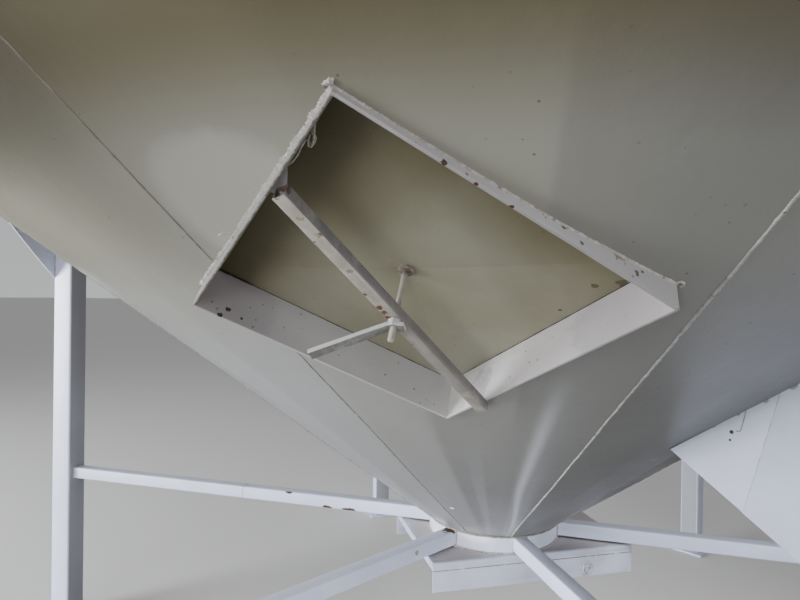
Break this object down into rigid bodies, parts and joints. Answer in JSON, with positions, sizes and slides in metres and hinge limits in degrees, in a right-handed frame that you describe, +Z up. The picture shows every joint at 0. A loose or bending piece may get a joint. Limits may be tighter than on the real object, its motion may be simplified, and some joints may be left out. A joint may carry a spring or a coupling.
{
  "type": "hopper-bottom grain silo",
  "caption": "Smooth round steel silo on a steep welded cone with square-tube legs and spokes, a slide gate under the collar ring, a clamped cone hatch and an air duct.",
  "frame": {"origin": "on the silo's centre line at ground level, under the feet", "axes": "+Z up along the silo's axis, -Y towards the side with the clamped hatch, +X through one leg"},
  "size_m": [4.34, 4.2774, 7.0132],
  "materials": {
    "shell": "cream semi-gloss paint",
    "frame": "pale semi-gloss paint",
    "hatch": "pale semi-gloss paint, rusty at the welds",
    "cover": "dusty olive paint",
    "gate": "dusty pale paint with rust",
    "steel": "worn bare steel"
  },
  "bodies": {
    "silo": {"cone_panel_1": "shell", "cone_panel_2": "shell", "cone_panel_3": "shell", "cone_panel_4": "shell", "cone_panel_5": "shell", "cone_panel_6": "shell", "cone_panel_7": "shell", "cone_panel_8": "shell", "cone_panel_9": "shell", "cone_panel_10": "shell", "barrel_panel_1": "shell", "barrel_panel_2": "shell", "barrel_panel_3": "shell", "barrel_panel_4": "shell", "barrel_panel_5": "shell", "barrel_panel_6": "shell", "roof_panel_1": "shell", "roof_panel_2": "shell", "roof_panel_3": "shell", "roof_panel_4": "shell", "roof_panel_5": "shell", "roof_panel_6": "shell", "roof_neck": "shell", "roof_lid": "shell", "collar_ring": "frame", "leg_1": "frame", "spoke_1": "frame", "leg_2": "frame", "spoke_2": "frame", "leg_3": "frame", "spoke_3": "frame", "leg_4": "frame", "spoke_4": "frame", "leg_5": "frame", "spoke_5": "frame", "leg_6": "frame", "spoke_6": "frame", "gate_top_plate": "gate", "gate_frame": "gate", "hatch_frame": "hatch", "hatch_cover": "cover", "hatch_rod": "steel", "clamp_bar": "hatch", "duct_box": "frame", "duct_cover": "frame"},
    "slide": {"gate_slide": "steel"},
    "shaft": {"gate_shaft": "steel"},
    "crank": {"hatch_handle": "hatch"}
  },
  "joints": [
    {"name": "gate_slide_travel", "type": "slide", "parent": "silo", "child": "slide", "axis": [0.866, 0.5, 0], "range_m": [0, 0.53]},
    {"name": "gate_shaft_turn", "type": "hinge", "parent": "silo", "child": "shaft", "pos_m": [0.2217, 0.128, 0.605], "axis": [-0.5, 0.866, 0], "range_deg": [0, 1003]},
    {"name": "hatch_crank_turn", "type": "hinge", "parent": "silo", "child": "crank", "pos_m": [-0.01088, -1.34859, 1.55434], "axis": [0.0058, -0.6018, -0.7986], "continuous": true}
  ],
  "couplings": [
    {"joint": "gate_shaft_turn", "follows": "gate_slide_travel", "rad_per_m": 33.003}
  ]
}
